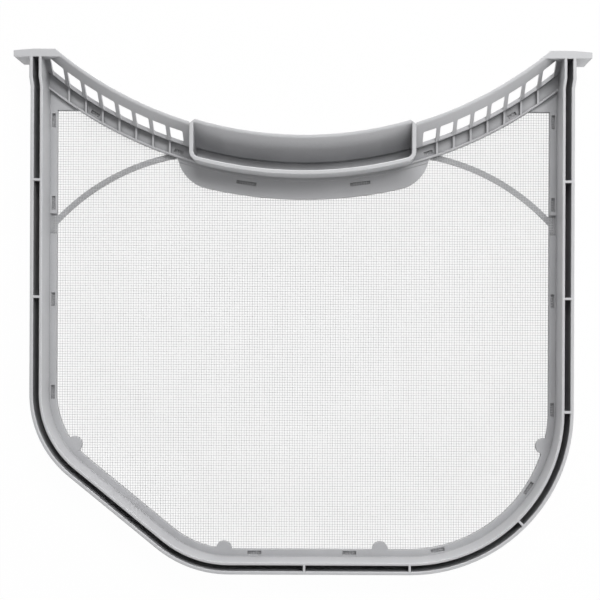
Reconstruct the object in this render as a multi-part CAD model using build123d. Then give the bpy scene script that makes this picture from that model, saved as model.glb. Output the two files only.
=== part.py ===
from build123d import *
import math
import os

# Tumble dryer lint filter, in millimetres.
# One grey moulded frame carries a woven screen that is moulded into its rear web.
# The filter lies on its rear face: X runs across the two ears, Y runs from the rounded
# lower end up to the ears, and Z runs from the rear face to the open front.

# Overall size
OVERALL_HEIGHT = 334.0
DEPTH = 24.0

# Body outline, seen from the front
BODY_WIDTH = 346.4
SHOULDER_STEP = 0.9
SHOULDER_DROP = 18.0
SHOULDER_LENGTH = 6.0
CHAMFER_RUN = 101.3
CHAMFER_RISE = 82.3
CHAMFER_UPPER_RADIUS = 67.5
CHAMFER_LOWER_RADIUS = 73.0
ROUND_CORNER_RADIUS = 104.0

# Double-wall channel, from the outside inward
OUTER_WALL = 2.2
GROOVE = 3.7
INNER_WALL = 1.9
FLANGE = 4.45
RIM_BEVEL = 0.4
RIM_BEVEL_SHARE = 0.4

# Rear web, from the rear face forward
REAR_LAYER = 1.6
SCREEN_THICKNESS = 0.6
FRONT_LIP = 1.0

# Cross ribs that tie the two channel walls together
CROSS_RIB = 1.5
CROSS_RIB_DROP = 83.3
CROSS_RIB_PITCH = 74.5
CROSS_RIBS_A_SIDE = 2
CORNER_RIB_ANGLES = (0.0, -45.0, -90.0)
BOTTOM_RIB_X = 2.0

# Ears at the upper corners
EAR_REACH = 9.9
EAR_THICKNESS = 5.0
EAR_DROOP = 1.0
EAR_BEVEL = 0.3

# Curved sloping roof on an upright foot, the tray below it and the low rail that edges the tray
ROOF_RADIUS = 247.3
ROOF_DIP = 56.3
ROOF_SLOPE_DROP = 11.9
ROOF_FOOT = 9.0
ROOF_THICKNESS = 2.2
RAIL_DROP = 21.2
RAIL_THICKNESS = 1.5
RAIL_HEIGHT = 3.0
CORNER_FLANGE_DROP = 35.3

# Windows through the roof and low ribs across the tray
WINDOW_WIDTH = 8.45
WINDOW_LENGTH = 8.7
WINDOW_CORNER = 0.5
WINDOW_SILL = 0.3
WINDOW_BAR = 2.49
WINDOW_MARGIN = 5.0
WINDOW_END_MARGIN = 3.5
TRAY_RIB = 1.3

# Finger pocket in the middle of the roof
POCKET_WIDTH = 144.6
POCKET_WALL = 2.7
POCKET_CORNER_RADIUS = 6.5
POCKET_PROUD = 0.3
POCKET_LIFT = 2.6
POCKET_FOOT_LIFT = 0.75
POCKET_SHOULDER_DROP = 1.4
POCKET_SHOULDER_SLOPE = 0.74
CRESCENT_WIDTH = 14.0
CRESCENT_OVERHANG = 10.0
CRESCENT_CORNER_RADIUS = 23.5
LEDGE_WIDTH = 2.2
LEDGE_HEIGHT = 0.8

# Curved struts behind the screen
STRUT_RADIUS = 143.0
STRUT_WIDTH = 3.7
STRUT_CENTRE_X = 56.8
STRUT_CENTRE_DROP = 205.0
STRUT_NOTCH = 13.0

# Half-round tabs on the inner edge of the flange
TAB_RADIUS = 5.2
TAB_BOTTOM_X = 51.0
TAB_CHAMFER_ANGLE = 218.0
TAB_CORNER_ANGLE = -15.0

# Grip slots, where the front lip is open down to the screen
GRIP_LENGTH = 9.0
GRIP_WIDTH = 2.3
GRIP_SIDE_DROPS = (42.0, 96.0, 159.0)
GRIP_BOTTOM_X = 31.0
GRIP_CHAMFER_ANGLE = 180.0
GRIP_CORNER_ANGLES = (0.0, -33.0, -78.0)
GRIP_CRESCENT_X = 37.2
GRIP_CRESCENT_LENGTH = 13.0
GRIP_CRESCENT_DROP = 5.9
GRIP_TRAY_LENGTH = 6.0
GRIP_TRAY_RISE = 2.5
GRIP_TRAY_WINDOWS = (0, 5)

# Screen: the weave is kept as crossed flat ridges, at a pitch coarser than the real threads
SCREEN_EDGE_GAP = 0.5
SCREEN_TOP_RISE = 5.0
SCREEN_COLUMNS = 11
SCREEN_ROWS = 10
SCREEN_RIDGE = 3.0
SCREEN_RELIEF = 0.2

# Levels and places that follow from the sizes above
TOP = OVERALL_HEIGHT / 2
BOTTOM = -OVERALL_HEIGHT / 2
SIDE = BODY_WIDTH / 2
UPPER_SIDE = SIDE + SHOULDER_STEP
WALL_TOP = TOP - EAR_THICKNESS / 2
SCREEN_FRONT = REAR_LAYER + SCREEN_THICKNESS
WEB = SCREEN_FRONT + FRONT_LIP
RAIL_TOP = WEB + RAIL_HEIGHT
INNER_WALL_INSET = OUTER_WALL + GROOVE
FLANGE_INSET = INNER_WALL_INSET + INNER_WALL
OPENING_INSET = FLANGE_INSET + FLANGE
FLANGE_MIDDLE = FLANGE_INSET + FLANGE / 2
SCREEN_INSET = FLANGE_INSET + SCREEN_EDGE_GAP
INNER_FACE = UPPER_SIDE - FLANGE_INSET
ARC_Y = TOP - ROOF_DIP + ROOF_RADIUS
ROOF_FOOT_RADIUS = ROOF_RADIUS + ROOF_SLOPE_DROP
RAIL_RADIUS = ROOF_RADIUS + RAIL_DROP
RAIL_OUTER_RADIUS = RAIL_RADIUS + RAIL_THICKNESS
POCKET_HALF = POCKET_WIDTH / 2
CRESCENT_RADIUS = RAIL_OUTER_RADIUS + CRESCENT_WIDTH
CRESCENT_HALF = POCKET_HALF + CRESCENT_OVERHANG
OPENING_TOP = TOP - CORNER_FLANGE_DROP
WINDOW_PITCH = WINDOW_WIDTH + WINDOW_BAR
WINDOW_START = POCKET_HALF + WINDOW_MARGIN + WINDOW_WIDTH / 2
WINDOW_REAR = ROOF_FOOT + WINDOW_SILL
WINDOW_LIMIT = INNER_FACE - WINDOW_END_MARGIN - WINDOW_WIDTH / 2
WINDOWS_A_SIDE = 1 + int((WINDOW_LIMIT - WINDOW_START) // WINDOW_PITCH)
REACH = OVERALL_HEIGHT + BODY_WIDTH

# Axis that the roof, the rail and the crescent share, and the plane that their sections are drawn on
ARC_AXIS = Axis((0, ARC_Y, 0), (0, 0, 1))
ARC_PLANE = Plane((0, ARC_Y, 0), x_dir=(1, 0, 0), z_dir=(0, -1, 0))


def disc(radius):
    """Disc about the axis that the roof, the rail and the crescent share."""
    return Pos(0, ARC_Y) * Circle(radius)


def both_sides(shape):
    """A shape together with its mirror image in the middle plane."""
    return shape + mirror(shape, Plane.YZ)


def body_outline():
    """Outer outline of the body, open-ended far above the ears."""
    chamfer_upper = (-SIDE, BOTTOM + CHAMFER_RISE)
    chamfer_lower = (-SIDE + CHAMFER_RUN, BOTTOM)
    round_corner = (SIDE, BOTTOM)
    shoulder_top = TOP - SHOULDER_DROP
    shoulder_end = shoulder_top - SHOULDER_LENGTH
    corners = [
        (-UPPER_SIDE, TOP + REACH),
        (-UPPER_SIDE, shoulder_top),
        (-SIDE, shoulder_end),
        chamfer_upper,
        chamfer_lower,
        round_corner,
        (SIDE, shoulder_end),
        (UPPER_SIDE, shoulder_top),
        (UPPER_SIDE, TOP + REACH),
    ]
    outline = make_face(Polyline(*corners, close=True))
    rounds = [
        (chamfer_upper, CHAMFER_UPPER_RADIUS),
        (chamfer_lower, CHAMFER_LOWER_RADIUS),
        (round_corner, ROUND_CORNER_RADIUS),
    ]
    for corner, radius in rounds:
        outline = fillet(outline.vertices().sort_by_distance(corner)[0], radius)
    return outline


OUTLINE = body_outline()


def inset(distance):
    """The body outline moved inward, with every round staying concentric, cut off inside the ears."""
    moved = offset(OUTLINE, amount=-distance, kind=Kind.INTERSECTION) if distance else OUTLINE
    below_ears = Pos(0, WALL_TOP - REACH) * Rectangle(2 * REACH, 2 * REACH)
    return moved & below_ears


def chamfer_place(depth, angle):
    """Place at a depth inside the upper round of the chamfered corner, turned along the wall."""
    turn = math.atan2(CHAMFER_RUN, CHAMFER_RISE)
    centre_y = BOTTOM + CHAMFER_RISE + CHAMFER_UPPER_RADIUS * math.tan(turn / 2)
    centre = Pos(-SIDE + CHAMFER_UPPER_RADIUS, centre_y)
    return centre * Rot(0, 0, angle) * Pos(CHAMFER_UPPER_RADIUS - depth, 0) * Rot(0, 0, 90)


def corner_place(depth, angle):
    """Place at a depth inside the large round corner, turned along the wall."""
    centre = Pos(SIDE - ROUND_CORNER_RADIUS, BOTTOM + ROUND_CORNER_RADIUS)
    return centre * Rot(0, 0, angle) * Pos(ROUND_CORNER_RADIUS - depth, 0) * Rot(0, 0, 90)


def arc_place(radius, x):
    """Place on a circle about the shared axis, at a given X and turned along the circle."""
    angle = math.degrees(math.asin(x / radius))
    return Pos(0, ARC_Y) * Rot(0, 0, angle) * Pos(0, -radius)


def crescent_shape():
    """Everything that the crescent flange covers, with its two rounded lower corners."""
    column = Pos(0, ARC_Y) * Rectangle(2 * CRESCENT_HALF, 2 * REACH)
    shape = column & disc(CRESCENT_RADIUS)
    return fillet(shape.vertices().group_by(Axis.Y)[0], CRESCENT_CORNER_RADIUS)


def tabs():
    """Half-round tabs on the inner edge of the flange."""
    places = [Pos(x, BOTTOM + OPENING_INSET) for x in (-TAB_BOTTOM_X, TAB_BOTTOM_X)]
    places.append(chamfer_place(OPENING_INSET, TAB_CHAMFER_ANGLE))
    places.append(corner_place(OPENING_INSET, TAB_CORNER_ANGLE))
    return Sketch() + [place * Circle(TAB_RADIUS) for place in places]


def screen_opening():
    """The open area of the rear web, where the screen shows."""
    below_corners = Pos(0, OPENING_TOP - REACH) * Rectangle(2 * REACH, 2 * REACH)
    area = inset(OPENING_INSET) & below_corners
    return area - disc(RAIL_OUTER_RADIUS) - crescent_shape() - tabs()


OPENING = screen_opening()


def screen_outline():
    """The whole screen, with the border that lies inside the rear web."""
    return inset(SCREEN_INSET) - disc(RAIL_RADIUS - SCREEN_TOP_RISE)


def rear_web():
    """Flat rear web that closes the channel and the tray and frames the screen."""
    return extrude(inset(0) - OPENING - disc(ROOF_FOOT_RADIUS), WEB)


def rim_bevel(thickness):
    """Bevel of a wall's front edges, which always leaves part of the rim flat."""
    return min(RIM_BEVEL, RIM_BEVEL_SHARE * thickness)


def channel_wall(start, thickness):
    """One wall of the channel, with bevelled front edges."""
    wall = extrude(inset(start) - inset(start + thickness), DEPTH)
    return chamfer(wall.edges().group_by(Axis.Z)[-1], rim_bevel(thickness))


def cross_ribs():
    """Ribs across the channel, flush with the front."""
    depth = OUTER_WALL + GROOVE / 2
    places = [corner_place(depth, angle) for angle in CORNER_RIB_ANGLES]
    places.append(Pos(BOTTOM_RIB_X, BOTTOM + depth))
    for row in range(CROSS_RIBS_A_SIDE):
        y = TOP - CROSS_RIB_DROP - row * CROSS_RIB_PITCH
        places += [Pos(x, y) * Rot(0, 0, 90) for x in (-SIDE + depth, SIDE - depth)]
    rib = Rectangle(CROSS_RIB, GROOVE + INNER_WALL)
    return extrude(Sketch() + [place * rib for place in places], DEPTH)


def above_roof(front_lift, foot_lift):
    """Space above the middle of the thickness of a roof that is lifted by the given amounts."""
    front_radius = ROOF_RADIUS - front_lift + ROOF_THICKNESS / 2
    foot_radius = ROOF_FOOT_RADIUS - foot_lift + ROOF_THICKNESS / 2
    profile = Polyline(
        (ROOF_RADIUS / 2, 0),
        (foot_radius, 0),
        (foot_radius, ROOF_FOOT),
        (front_radius, DEPTH),
        (ROOF_RADIUS / 2, DEPTH),
        close=True,
    )
    return revolve(ARC_PLANE * make_face(profile), ARC_AXIS)


def roof_ring(front_lift, foot_lift):
    """Sloping roof and its foot as a full ring about the shared axis, with a bevelled front edge."""
    front_radius = ROOF_RADIUS - front_lift
    foot_radius = ROOF_FOOT_RADIUS - foot_lift
    profile = Polyline(
        (foot_radius, 0),
        (foot_radius + ROOF_THICKNESS, 0),
        (foot_radius + ROOF_THICKNESS, ROOF_FOOT),
        (front_radius + ROOF_THICKNESS, DEPTH),
        (front_radius, DEPTH),
        (foot_radius, ROOF_FOOT),
        close=True,
    )
    face = make_face(profile)
    face = chamfer(face.vertices().group_by(Axis.Y)[-1], rim_bevel(ROOF_THICKNESS))
    return revolve(ARC_PLANE * face, ARC_AXIS)


def window_places():
    """X of the middle of each window on the right side."""
    return [WINDOW_START + i * WINDOW_PITCH for i in range(WINDOWS_A_SIDE)]


def window_cuts():
    """Cutters for the row of windows on the right side."""
    window = Rectangle(WINDOW_WIDTH, WINDOW_LENGTH)
    window = chamfer(window.vertices(), WINDOW_CORNER)
    window_z = WINDOW_REAR + WINDOW_LENGTH / 2
    row = Sketch() + [Plane.XZ * Pos(x, window_z) * window for x in window_places()]
    return extrude(row, REACH, both=True)


def windowed_roof():
    """The two outer spans of the roof, each with its row of windows."""
    span_width = INNER_FACE + INNER_WALL / 2 - POCKET_HALF
    span = Pos(POCKET_HALF + span_width / 2, TOP - REACH / 2) * Rectangle(span_width, REACH)
    roof = (roof_ring(0, 0) & extrude(span, DEPTH)) - window_cuts()
    return both_sides(roof)


def pocket_span():
    """Space of the middle span of the roof, which steps up at a slant at its two ends."""
    shoulder_y = ARC_Y - math.sqrt(ROOF_RADIUS**2 - POCKET_HALF**2) - POCKET_SHOULDER_DROP
    ridge_y = shoulder_y + POCKET_SHOULDER_SLOPE * POCKET_HALF
    span = Polyline(
        (-POCKET_HALF, shoulder_y - REACH),
        (POCKET_HALF, shoulder_y - REACH),
        (POCKET_HALF, shoulder_y),
        (0, ridge_y),
        (-POCKET_HALF, shoulder_y),
        close=True,
    )
    return extrude(make_face(span), DEPTH)


def pocket_roof():
    """Middle span of the roof, lifted at the front into a finger grip."""
    return roof_ring(POCKET_LIFT, POCKET_FOOT_LIFT) & pocket_span()


def pocket_shape():
    """Outside of the finger pocket, seen from the front, running up past the roof."""
    column = Pos(0, ARC_Y) * Rectangle(POCKET_WIDTH, 2 * REACH)
    shape = column & disc(RAIL_OUTER_RADIUS + POCKET_PROUD)
    return fillet(shape.vertices().group_by(Axis.Y)[0], POCKET_CORNER_RADIUS)


def rail():
    """Low curved rail that edges the tray, with a bevelled front edge."""
    profile = Pos(RAIL_RADIUS + RAIL_THICKNESS / 2, RAIL_TOP / 2) * Rectangle(RAIL_THICKNESS, RAIL_TOP)
    profile = chamfer(profile.vertices().group_by(Axis.Y)[-1], rim_bevel(RAIL_THICKNESS))
    ring = revolve(ARC_PLANE * profile, ARC_AXIS)
    return ring & extrude(inset(FLANGE_INSET - INNER_WALL / 2), DEPTH)


def pocket_walls():
    """Walls of the finger pocket, with bevelled front edges, ending inside the lifted roof."""
    outside = pocket_shape()
    ring = outside - offset(outside, amount=-POCKET_WALL, kind=Kind.INTERSECTION)
    walls = extrude(ring & inset(FLANGE_INSET), DEPTH)
    walls = chamfer(walls.edges().group_by(Axis.Z)[-1], rim_bevel(POCKET_WALL))
    return (walls - above_roof(POCKET_LIFT, POCKET_FOOT_LIFT)) & pocket_span()


def pocket_ledge():
    """Low ledge along the foot of the finger pocket, where the rail runs on below it."""
    band = disc(RAIL_OUTER_RADIUS + LEDGE_WIDTH) - disc(RAIL_RADIUS + RAIL_THICKNESS / 2)
    return extrude(band & crescent_shape() & inset(FLANGE_INSET), WEB + LEDGE_HEIGHT)


def tray_ribs():
    """Low ribs across the tray, one in line with each bar between two windows."""
    strip = Rectangle(TRAY_RIB, REACH)
    middles = [x + WINDOW_PITCH / 2 for x in window_places()[:-1]]
    strips = Sketch() + [Pos(x, TOP - REACH / 2) * strip for x in middles]
    band = disc(RAIL_RADIUS + RAIL_THICKNESS / 2) - disc(ROOF_RADIUS)
    ribs = extrude(strips & band & inset(FLANGE_INSET), RAIL_TOP)
    return both_sides(ribs - above_roof(0, 0))


def ears():
    """Ears with a level underside, whose top carries the roof's line outward and droops to the end."""
    underside_y = TOP - EAR_THICKNESS
    underside_radius = ROOF_RADIUS + ROOF_THICKNESS
    root = min(INNER_FACE, math.sqrt(max(0.0, underside_radius**2 - (ARC_Y - underside_y) ** 2)))
    knee = UPPER_SIDE - OUTER_WALL
    end = UPPER_SIDE + EAR_REACH
    profile = Polyline(
        (root, TOP),
        (knee, TOP),
        (end, TOP - EAR_DROOP),
        (end, underside_y),
        (root, underside_y),
        close=True,
    )
    plate = make_face(profile)
    plate = chamfer(plate.vertices().group_by(Axis.X)[-1], EAR_BEVEL)
    inside = extrude(Rectangle(2 * INNER_FACE, 2 * REACH), DEPTH)
    ear = extrude(plate, DEPTH) - (above_roof(0, 0) & inside) - window_cuts()
    return both_sides(ear)


def strut_bands():
    """The two curved struts that back the upper part of the screen, seen from the front."""
    centre_y = TOP - STRUT_CENTRE_DROP
    ring = Circle(STRUT_RADIUS + STRUT_WIDTH / 2) - Circle(STRUT_RADIUS - STRUT_WIDTH / 2)
    quarter = Pos(REACH / 2, REACH / 2) * Rectangle(REACH, REACH)
    band = Pos(STRUT_CENTRE_X, centre_y) * (ring & quarter)
    return both_sides((band & inset(SCREEN_INSET)) - disc(RAIL_RADIUS))


def strut_notches():
    """Places where the flange's front lip is left open over the foot of each strut."""
    foot_x = SIDE - FLANGE_MIDDLE
    rise = math.sqrt(max(0.0, STRUT_RADIUS**2 - (foot_x - STRUT_CENTRE_X) ** 2))
    notch = Pos(foot_x, TOP - STRUT_CENTRE_DROP + rise) * Rectangle(FLANGE, STRUT_NOTCH)
    return Pos(0, 0, SCREEN_FRONT) * extrude(both_sides(notch), FRONT_LIP)


def grip_slots():
    """Slots through the front lip, where the mould gripped the screen."""
    slot = Rectangle(GRIP_LENGTH, GRIP_WIDTH)
    side_x = SIDE - FLANGE_MIDDLE
    places = [Pos(x, BOTTOM + FLANGE_MIDDLE) for x in (-GRIP_BOTTOM_X, GRIP_BOTTOM_X)]
    places.append(chamfer_place(FLANGE_MIDDLE, GRIP_CHAMFER_ANGLE))
    places += [corner_place(FLANGE_MIDDLE, angle) for angle in GRIP_CORNER_ANGLES]
    for drop in GRIP_SIDE_DROPS:
        places += [Pos(x, TOP - drop) * Rot(0, 0, 90) for x in (-side_x, side_x)]
    slots = Sketch() + [place * slot for place in places]
    long_slot = Rectangle(GRIP_CRESCENT_LENGTH, GRIP_WIDTH)
    crescent_radius = RAIL_OUTER_RADIUS + GRIP_CRESCENT_DROP
    slots += [arc_place(crescent_radius, x) * long_slot for x in (-GRIP_CRESCENT_X, GRIP_CRESCENT_X)]
    short_slot = Rectangle(GRIP_TRAY_LENGTH, GRIP_WIDTH)
    for window in GRIP_TRAY_WINDOWS:
        x = WINDOW_START + window * WINDOW_PITCH
        radius = RAIL_RADIUS - GRIP_TRAY_RISE
        slots += [arc_place(radius, side) * short_slot for side in (-x, x)]
    return Pos(0, 0, SCREEN_FRONT) * extrude(slots, FRONT_LIP)


def frame():
    """The whole moulding, with the seat of the screen and the grip slots cut out."""
    solid = pocket_walls()
    solid += pocket_roof()
    solid += windowed_roof()
    solid += rear_web()
    solid += rail()
    solid += channel_wall(INNER_WALL_INSET, INNER_WALL)
    solid += channel_wall(0, OUTER_WALL)
    solid += cross_ribs()
    solid += pocket_ledge()
    solid += tray_ribs()
    solid += ears()
    solid += extrude(strut_bands(), REAR_LAYER)
    solid -= Pos(0, 0, REAR_LAYER) * extrude(screen_outline(), SCREEN_THICKNESS)
    return solid - grip_slots() - strut_notches()


def screen_ridges():
    """Crossed flat ridges of the weave: the upright ones lie in front of the level ones."""
    box = OPENING.bounding_box()
    pitch_x = box.size.X / SCREEN_COLUMNS
    pitch_y = box.size.Y / SCREEN_ROWS
    centre = Pos(box.center().X, box.center().Y)
    upright = centre * GridLocations(pitch_x, 1, SCREEN_COLUMNS - 1, 1) * Rectangle(SCREEN_RIDGE, REACH)
    level = centre * GridLocations(1, pitch_y, 1, SCREEN_ROWS - 1) * Rectangle(REACH, SCREEN_RIDGE)
    thickness = SCREEN_THICKNESS - SCREEN_RELIEF
    front = Pos(0, 0, REAR_LAYER + SCREEN_RELIEF) * extrude(Sketch() + upright & OPENING, thickness)
    rear = Pos(0, 0, REAR_LAYER) * extrude(Sketch() + level & OPENING, thickness)
    return front + rear


def mesh_screen():
    """Screen with a plain border that fills its seat in the rear web."""
    border = Pos(0, 0, REAR_LAYER) * extrude(screen_outline() - OPENING, SCREEN_THICKNESS)
    return border + screen_ridges()


def main():
    os.makedirs("parts", exist_ok=True)
    nodes = {"frame": frame(), "mesh_screen": mesh_screen()}
    for name, solid in nodes.items():
        export_step(solid, f"parts/{name}.step")


main()
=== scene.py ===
import math

import bmesh
import bpy
from mathutils import Euler, Matrix, Vector


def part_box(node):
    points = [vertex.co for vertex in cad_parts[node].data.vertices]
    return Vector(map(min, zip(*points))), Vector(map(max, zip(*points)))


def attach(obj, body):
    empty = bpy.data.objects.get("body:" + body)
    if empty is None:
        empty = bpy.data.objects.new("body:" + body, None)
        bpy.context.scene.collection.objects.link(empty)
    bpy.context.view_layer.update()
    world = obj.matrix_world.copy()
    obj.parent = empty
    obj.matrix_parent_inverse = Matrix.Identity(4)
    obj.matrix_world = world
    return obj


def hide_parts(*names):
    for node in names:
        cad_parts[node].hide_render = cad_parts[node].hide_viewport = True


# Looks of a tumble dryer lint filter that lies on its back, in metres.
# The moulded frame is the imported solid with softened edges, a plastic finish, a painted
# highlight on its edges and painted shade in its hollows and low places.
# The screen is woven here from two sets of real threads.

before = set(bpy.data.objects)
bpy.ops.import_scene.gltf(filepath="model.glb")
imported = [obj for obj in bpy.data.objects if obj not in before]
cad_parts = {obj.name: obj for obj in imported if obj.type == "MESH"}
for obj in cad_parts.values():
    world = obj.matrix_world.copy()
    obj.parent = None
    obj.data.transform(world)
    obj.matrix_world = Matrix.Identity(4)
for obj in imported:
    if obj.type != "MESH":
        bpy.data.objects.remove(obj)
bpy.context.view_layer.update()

MM = 0.001
X, Y = 0, 1
WHITE = (1, 1, 1, 1)

# The middle part of a noise, which is the part that is used
NOISE_LOW, NOISE_HIGH = 0.3, 0.7

# Moulded frame: tones as red, green and blue in linear light, with 1 for a solid colour
PLASTIC_DARK = (0.535, 0.537, 0.551, 1)
PLASTIC_LIGHT = (0.575, 0.576, 0.588, 1)
SPECK_TONE = (0.51, 0.512, 0.526, 1)
# Painted highlight along the edges, patchy like rubbing
EDGE_HIGHLIGHT_TONE = (0.80, 0.802, 0.812, 1)
# Painted shade in hollows and on low level places
PAINTED_SHADE_TONE = (0.24, 0.242, 0.252, 1)
PLASTIC_SHINE = 0.3
PLASTIC_ROUGHNESS = (0.38, 0.52)

# Moulded frame: each noise's scale and detail, and for the sheen its roughness too
CLOUDING_NOISE = (14, 3)
SPECK_NOISE = (700, 2)
# Patches of the painted edge highlight
EDGE_HIGHLIGHT_NOISE = (55, 3)
# Patches of the painted shade
PAINTED_SHADE_NOISE = (30, 3)
SHEEN_NOISE = (90, 4, 0.6)
GRAIN_NOISE = (2200, 2)

# Moulded frame: how much of a tone shows, from the least to the most
SPECK_SHARE = (0, 0.35)
# Share of the painted edge highlight
EDGE_HIGHLIGHT_SHARE = (0.5, 1)
# Share of the painted shade
PAINTED_SHADE_SHARE = (0.75, 1)

# Moulded frame: rounded edges, which start where the rounded normal leaves the plain one
EDGE_ROUND = 0.6 * MM
EDGE_SAMPLES = 6
EDGE_START, EDGE_FULL = 0.99, 0.86

# Moulded frame: painted shade by how open a place is, how high it lies and how level it is
HOLLOW_REACH = 20.0 * MM
HOLLOW_SAMPLES = 8
HOLLOW_START, HOLLOW_FULL = 0.8, 0.35
FRONT_HEIGHT = 23.0 * MM
REAR_HEIGHT = 2.0 * MM
LEVEL_START, LEVEL_FULL = 0.3, 1.9

# Moulded frame: mould grain
GRAIN_DEPTH = 0.05 * MM
GRAIN_STRENGTH = 0.12

# Outline of the screen, which takes its places from the frame's own outline
BODY_SIDE = 173.2 * MM
BODY_BOTTOM = -167.0 * MM
SCREEN_INSET = 8.6 * MM
CORNER_RADIUS = 104.0 * MM
CHAMFER_RUN = 101.3 * MM
CHAMFER_RISE = 82.3 * MM
CHAMFER_UPPER_RADIUS = 67.5 * MM
CHAMFER_LOWER_RADIUS = 73.0 * MM
SCREEN_ARC_CENTRE = Vector((0, 358.0 * MM))
SCREEN_ARC_RADIUS = 264.2 * MM

# Weave
THREAD_PITCH = 1.655 * MM
THREAD_RADIUS = 0.14 * MM
THREAD_SIDES = 3
WEAVE_MIDDLE = 1.9 * MM
WEAVE_WAVE = 0.13 * MM
THREAD_DARK = (0.49, 0.49, 0.498, 1)
THREAD_LIGHT = (0.57, 0.57, 0.576, 1)
THREAD_SHADE_NOISE = (45, 3)
THREAD_SHEEN_NOISE = (900, 2)
THREAD_ROUGHNESS = (0.4, 0.6)

# Camera, which looks straight down a little to the right of the picture's middle and below it
CAMERA_PLACE = Vector((20.0, -8.0, 764.0)) * MM
VIEW_MIDDLE = Vector((-1.2, 7.9)) * MM
CAMERA_DISTANCE = 740.0 * MM
CAMERA_TURN = math.radians(0.24)
VIEW_WIDTH = 381.5 * MM
SENSOR_WIDTH = 36

# Floor, and the share of its white that doesn't take a shadow
FLOOR_SIZE = 20
FLOOR_DROP = 0.2 * MM
FLOOR_TONE = (0.9, 0.9, 0.9, 1)
FLOOR_ROUGHNESS = 0.8
FLOOR_GLOW = 0.98

# Light: each lamp's angle round the filter from +X and above the floor, in degrees,
# and its power in watts
LAMP_DISTANCE = 1.5
LAMP_SIZE = 0.6
LAMPS = (
    ("key_lamp", 45, 55, 9.0),
    ("upper_lamp", 90, 50, 8.0),
    ("low_upper_lamp", 90, 10, 12.0),
    ("low_right_lamp", 315, 12, 8.5),
    ("low_left_lamp", 225, 12, 5.0),
    ("top_lamp", 0, 88, 3.5),
)


def new_material(name):
    """Node material with a plain shader: the material, its node tree and that shader."""
    material = bpy.data.materials.new(name)
    material.use_nodes = True
    tree = material.node_tree
    return material, tree, tree.nodes["Principled BSDF"]


def feed(tree, value, socket):
    """Joins a socket to the output of another node, or sets it to a fixed value."""
    if isinstance(value, bpy.types.NodeSocket):
        tree.links.new(value, socket)
    else:
        socket.default_value = value


def noise(tree, place, scale, detail, roughness=0.5):
    """Noise texture on the object's own coordinates."""
    texture = tree.nodes.new("ShaderNodeTexNoise")
    texture.inputs["Scale"].default_value = scale
    texture.inputs["Detail"].default_value = detail
    texture.inputs["Roughness"].default_value = roughness
    tree.links.new(place, texture.inputs["Vector"])
    return texture.outputs["Fac"]


def remap(tree, value, start, full, low=0, high=1):
    """Low where a value is at its start, high where it is full."""
    ranged = tree.nodes.new("ShaderNodeMapRange")
    ranged.inputs["From Min"].default_value = start
    ranged.inputs["From Max"].default_value = full
    ranged.inputs["To Min"].default_value = low
    ranged.inputs["To Max"].default_value = high
    tree.links.new(value, ranged.inputs["Value"])
    return ranged.outputs["Result"]


def patches(tree, place, kind, share=(0, 1)):
    """Noise of a kind, from the least to the most of a share."""
    return remap(tree, noise(tree, place, *kind), NOISE_LOW, NOISE_HIGH, *share)


def reckon(tree, operation, first, second):
    """Two values put together, each of them fixed or the output of another node."""
    sum_node = tree.nodes.new("ShaderNodeMath")
    sum_node.operation = operation
    feed(tree, first, sum_node.inputs[0])
    feed(tree, second, sum_node.inputs[1])
    return sum_node.outputs["Value"]


def tint(tree, factor, first, second):
    """Colour between two tones, each of them fixed or the output of another node."""
    mixed = tree.nodes.new("ShaderNodeMix")
    mixed.data_type = "RGBA"
    feed(tree, first, mixed.inputs["A"])
    feed(tree, second, mixed.inputs["B"])
    tree.links.new(factor, mixed.inputs["Factor"])
    return mixed.outputs["Result"]


def plain_normal(tree):
    """Normal of the surface as it was modelled."""
    return tree.nodes.new("ShaderNodeNewGeometry").outputs["Normal"]


def upward(tree, vector):
    """Z of a place or of a normal."""
    parts = tree.nodes.new("ShaderNodeSeparateXYZ")
    tree.links.new(vector, parts.inputs["Vector"])
    return parts.outputs["Z"]


def rounded_edges(tree):
    """Normals that round every edge a little, and how near a place is to such an edge."""
    rounded = tree.nodes.new("ShaderNodeBevel")
    rounded.samples = EDGE_SAMPLES
    rounded.inputs["Radius"].default_value = EDGE_ROUND
    likeness = tree.nodes.new("ShaderNodeVectorMath")
    likeness.operation = "DOT_PRODUCT"
    tree.links.new(rounded.outputs["Normal"], likeness.inputs[0])
    tree.links.new(plain_normal(tree), likeness.inputs[1])
    edge = remap(tree, likeness.outputs["Value"], EDGE_START, EDGE_FULL)
    return rounded.outputs["Normal"], edge


def painted_hollow_shade(tree, place):
    """Painted shade: darker in hollows, and on level places the more the lower they lie."""
    openness = tree.nodes.new("ShaderNodeAmbientOcclusion")
    openness.samples = HOLLOW_SAMPLES
    openness.only_local = True
    openness.inputs["Distance"].default_value = HOLLOW_REACH
    hollow = remap(tree, openness.outputs["AO"], HOLLOW_START, HOLLOW_FULL)
    depth = remap(tree, upward(tree, place), FRONT_HEIGHT, REAR_HEIGHT)
    level = remap(tree, upward(tree, plain_normal(tree)), LEVEL_START, LEVEL_FULL)
    shade_amount = reckon(tree, "MAXIMUM", hollow, reckon(tree, "MULTIPLY", depth, level))
    return reckon(tree, "MULTIPLY", shade_amount, patches(tree, place, PAINTED_SHADE_NOISE, PAINTED_SHADE_SHARE))


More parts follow.
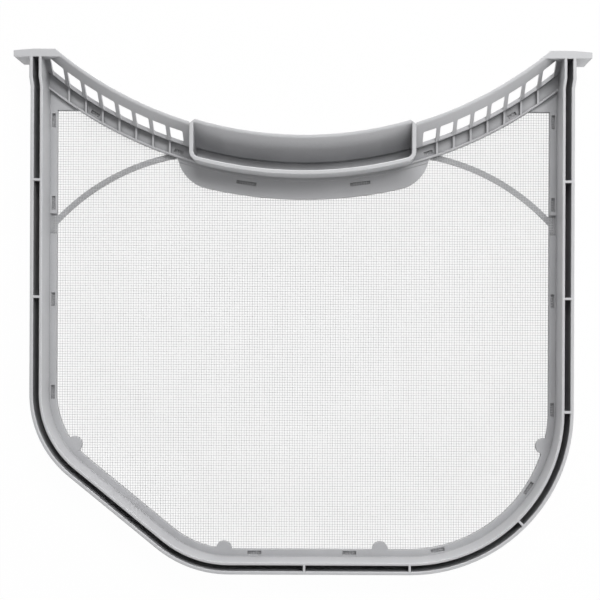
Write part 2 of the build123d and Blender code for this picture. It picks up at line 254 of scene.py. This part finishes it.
def moulded_plastic():
    """Light grey plastic: faint clouding and specks, painted highlight on the edges, painted
    shade in hollows and low places, and a fine grain.
    """
    material, tree, shader = new_material("grey_moulded_plastic")
    place = tree.nodes.new("ShaderNodeTexCoord").outputs["Object"]
    colour = tint(tree, patches(tree, place, CLOUDING_NOISE), PLASTIC_DARK, PLASTIC_LIGHT)
    colour = tint(tree, patches(tree, place, SPECK_NOISE, SPECK_SHARE), colour, SPECK_TONE)
    rounded, edge = rounded_edges(tree)
    # Painted highlight: edges made paler in patches
    edge_highlight = reckon(tree, "MULTIPLY", edge, patches(tree, place, EDGE_HIGHLIGHT_NOISE, EDGE_HIGHLIGHT_SHARE))
    colour = tint(tree, edge_highlight, colour, EDGE_HIGHLIGHT_TONE)
    # Painted shade: darker in hollows and on low level places
    colour = tint(tree, painted_hollow_shade(tree, place), colour, PAINTED_SHADE_TONE)
    tree.links.new(colour, shader.inputs["Base Color"])
    shader.inputs["Specular IOR Level"].default_value = PLASTIC_SHINE
    sheen = patches(tree, place, SHEEN_NOISE, PLASTIC_ROUGHNESS)
    tree.links.new(sheen, shader.inputs["Roughness"])
    grain = tree.nodes.new("ShaderNodeBump")
    grain.inputs["Strength"].default_value = GRAIN_STRENGTH
    grain.inputs["Distance"].default_value = GRAIN_DEPTH
    tree.links.new(noise(tree, place, *GRAIN_NOISE), grain.inputs["Height"])
    tree.links.new(rounded, grain.inputs["Normal"])
    tree.links.new(grain.outputs["Normal"], shader.inputs["Normal"])
    return material


def woven_thread():
    """Pale plastic thread."""
    material, tree, shader = new_material("pale_woven_thread")
    place = tree.nodes.new("ShaderNodeTexCoord").outputs["Object"]
    colour = tint(tree, patches(tree, place, THREAD_SHADE_NOISE), THREAD_DARK, THREAD_LIGHT)
    tree.links.new(colour, shader.inputs["Base Color"])
    sheen = patches(tree, place, THREAD_SHEEN_NOISE, THREAD_ROUGHNESS)
    tree.links.new(sheen, shader.inputs["Roughness"])
    return material


def add_piece(name, mesh_maker, material):
    """New piece at the origin from a finished bmesh."""
    mesh = bpy.data.meshes.new(name)
    mesh_maker.to_mesh(mesh)
    mesh_maker.free()
    mesh.materials.append(material)
    piece = bpy.data.objects.new(name, mesh)
    bpy.context.scene.collection.objects.link(piece)
    return piece


def chamfer_rounds():
    """Centres of the two rounds of the cut-off corner, and the angle that the upper one turns."""
    turn = math.atan2(CHAMFER_RUN, CHAMFER_RISE)
    upper_y = BODY_BOTTOM + CHAMFER_RISE + CHAMFER_UPPER_RADIUS * math.tan(turn / 2)
    upper = Vector((-BODY_SIDE + CHAMFER_UPPER_RADIUS, upper_y))
    lower_turn = math.pi / 2 - turn
    lower_x = -BODY_SIDE + CHAMFER_RUN + CHAMFER_LOWER_RADIUS * math.tan(lower_turn / 2)
    lower = Vector((lower_x, BODY_BOTTOM + CHAMFER_LOWER_RADIUS))
    return upper, lower, turn


UPPER_CENTRE, LOWER_CENTRE, CHAMFER_TURN = chamfer_rounds()
CHAMFER_OUTWARD = Vector((-math.cos(CHAMFER_TURN), -math.sin(CHAMFER_TURN)))
CORNER_CENTRE = Vector((BODY_SIDE - CORNER_RADIUS, BODY_BOTTOM + CORNER_RADIUS))


def depth_in_body(point):
    """How far a point lies inside the body's outline, which is rounded at its lower corners."""
    depth = min(BODY_SIDE - abs(point.x), point.y - BODY_BOTTOM)
    from_upper = point - UPPER_CENTRE
    depth = min(depth, CHAMFER_UPPER_RADIUS - from_upper.dot(CHAMFER_OUTWARD))
    if from_upper.y < 0 and from_upper.cross(CHAMFER_OUTWARD) > 0 and from_upper.x < 0:
        depth = min(depth, CHAMFER_UPPER_RADIUS - from_upper.length)
    from_lower = point - LOWER_CENTRE
    if from_lower.x < 0 and from_lower.cross(CHAMFER_OUTWARD) < 0 and from_lower.y < 0:
        depth = min(depth, CHAMFER_LOWER_RADIUS - from_lower.length)
    from_corner = point - CORNER_CENTRE
    if from_corner.x > 0 and from_corner.y < 0:
        depth = min(depth, CORNER_RADIUS - from_corner.length)
    return depth


def in_screen(point):
    """Whether a point seen from the front lies on the screen."""
    below_arc = (point - SCREEN_ARC_CENTRE).length > SCREEN_ARC_RADIUS
    return below_arc and depth_in_body(point) > SCREEN_INSET


def threads(along, phase):
    """One set of threads that run along X or Y and wave over and under the other set."""
    low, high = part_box("mesh_screen")
    across = 1 - along
    steps = [int((high[i] - low[i]) / THREAD_PITCH) for i in (X, Y)]
    start = [(low[i] + high[i]) / 2 - steps[i] * THREAD_PITCH / 2 for i in (X, Y)]
    bm = bmesh.new()
    run = Vector((1, 0, 0)) if along == X else Vector((0, 1, 0))
    facing = run.to_track_quat("Z", "Y").to_matrix().to_4x4()
    place = Matrix.Translation((start[X], start[Y], WEAVE_MIDDLE)) @ facing
    ring = bmesh.ops.create_circle(bm, segments=THREAD_SIDES, radius=THREAD_RADIUS, matrix=place)
    edges = list({e for v in ring["verts"] for e in v.link_edges})
    bmesh.ops.spin(bm, geom=edges, axis=(0, 0, 1), dvec=run * THREAD_PITCH, steps=steps[along])
    sideways = Vector((0, 0, 0))
    sideways[across] = THREAD_PITCH
    bmesh.ops.spin(
        bm, geom=bm.verts[:] + bm.edges[:] + bm.faces[:], axis=(0, 0, 1), dvec=sideways,
        steps=steps[across], use_duplicate=True,
    )
    for v in bm.verts:
        crossing = [round((v.co[i] - start[i]) / THREAD_PITCH) for i in (X, Y)]
        v.co.z += phase * WEAVE_WAVE * (1 if sum(crossing) % 2 else -1)
    outside = [f for f in bm.faces if not in_screen(f.calc_center_median().to_2d())]
    bmesh.ops.delete(bm, geom=outside, context="FACES")
    ends = [e for e in bm.edges if e.is_boundary]
    bmesh.ops.holes_fill(bm, edges=ends, sides=THREAD_SIDES)
    bmesh.ops.recalc_face_normals(bm, faces=bm.faces[:])
    for f in bm.faces:
        f.smooth = True
    return bm


def weave_screen():
    """Warp and weft, which stand for the plain ridges of the solid."""
    thread = woven_thread()
    for name, along, phase in (("screen_warp", Y, 1), ("screen_weft", X, -1)):
        piece = add_piece(name, threads(along, phase), thread)
        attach(piece, "root")
        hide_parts("mesh_screen")


def finish_frame():
    """Softened edges and a plastic finish on the moulded frame."""
    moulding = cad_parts["frame"]
    moulding.data.materials.clear()
    moulding.data.materials.append(moulded_plastic())


def seen_directly(tree):
    """1 for a ray from the camera, or for one that a shiny or clear surface sends on."""
    rays = tree.nodes.new("ShaderNodeLightPath").outputs
    shiny = reckon(tree, "MAXIMUM", rays["Is Camera Ray"], rays["Is Glossy Ray"])
    return reckon(tree, "MAXIMUM", shiny, rays["Is Transmission Ray"])


def add_floor():
    """Plain white floor that keeps the object's shadow."""
    bm = bmesh.new()
    bmesh.ops.create_grid(bm, x_segments=1, y_segments=1, size=FLOOR_SIZE)
    bmesh.ops.translate(bm, verts=bm.verts[:], vec=(0, 0, -FLOOR_DROP))
    material, tree, shader = new_material("white_floor")
    shader.inputs["Base Color"].default_value = FLOOR_TONE
    shader.inputs["Roughness"].default_value = FLOOR_ROUGHNESS
    glow = tree.nodes.new("ShaderNodeEmission")
    glow.inputs["Color"].default_value = WHITE
    mixed = tree.nodes.new("ShaderNodeMixShader")
    share = reckon(tree, "MULTIPLY", seen_directly(tree), FLOOR_GLOW)
    tree.links.new(share, mixed.inputs["Fac"])
    tree.links.new(shader.outputs["BSDF"], mixed.inputs[1])
    tree.links.new(glow.outputs["Emission"], mixed.inputs[2])
    tree.links.new(mixed.outputs["Shader"], tree.nodes["Material Output"].inputs["Surface"])
    add_piece("floor", bm, material)


def add_lamp(name, round_angle, height_angle, power):
    """Square soft lamp that looks at the filter, placed by its angle round it and above it."""
    data = bpy.data.lights.new(name, "AREA")
    data.size = LAMP_SIZE
    data.energy = power
    lamp = bpy.data.objects.new(name, data)
    bpy.context.scene.collection.objects.link(lamp)
    outward = Vector((LAMP_DISTANCE, 0, 0))
    outward.rotate(Euler((0, -math.radians(height_angle), math.radians(round_angle))))
    lamp.location = outward
    lamp.rotation_mode = "QUATERNION"
    lamp.rotation_quaternion = outward.to_track_quat("Z", "Y")


def add_world():
    """White where it is seen, directly or in a shiny surface, with no other light of its own."""
    world = bpy.data.worlds.new("studio")
    bpy.context.scene.world = world
    world.use_nodes = True
    tree = world.node_tree
    background = tree.nodes["Background"]
    background.inputs["Color"].default_value = WHITE
    tree.links.new(seen_directly(tree), background.inputs["Strength"])


def add_light():
    """Soft studio light: two high lamps on the ears' side, three low ones and one overhead."""
    for name, round_angle, height_angle, power in LAMPS:
        add_lamp(name, round_angle, height_angle, power)
    add_world()


def add_camera():
    """Camera that looks straight down, with the ears at the top of the picture."""
    data = bpy.data.cameras.new("camera")
    data.sensor_width = SENSOR_WIDTH
    data.lens = data.sensor_width * CAMERA_DISTANCE / VIEW_WIDTH
    camera = bpy.data.objects.new("camera", data)
    bpy.context.scene.collection.objects.link(camera)
    camera.location = CAMERA_PLACE
    camera.rotation_euler.z = CAMERA_TURN
    data.shift_x, data.shift_y = (VIEW_MIDDLE - CAMERA_PLACE.to_2d()) / VIEW_WIDTH
    bpy.context.scene.camera = camera


bpy.context.scene.view_settings.view_transform = "Standard"
finish_frame()
weave_screen()
add_floor()
add_light()
add_camera()
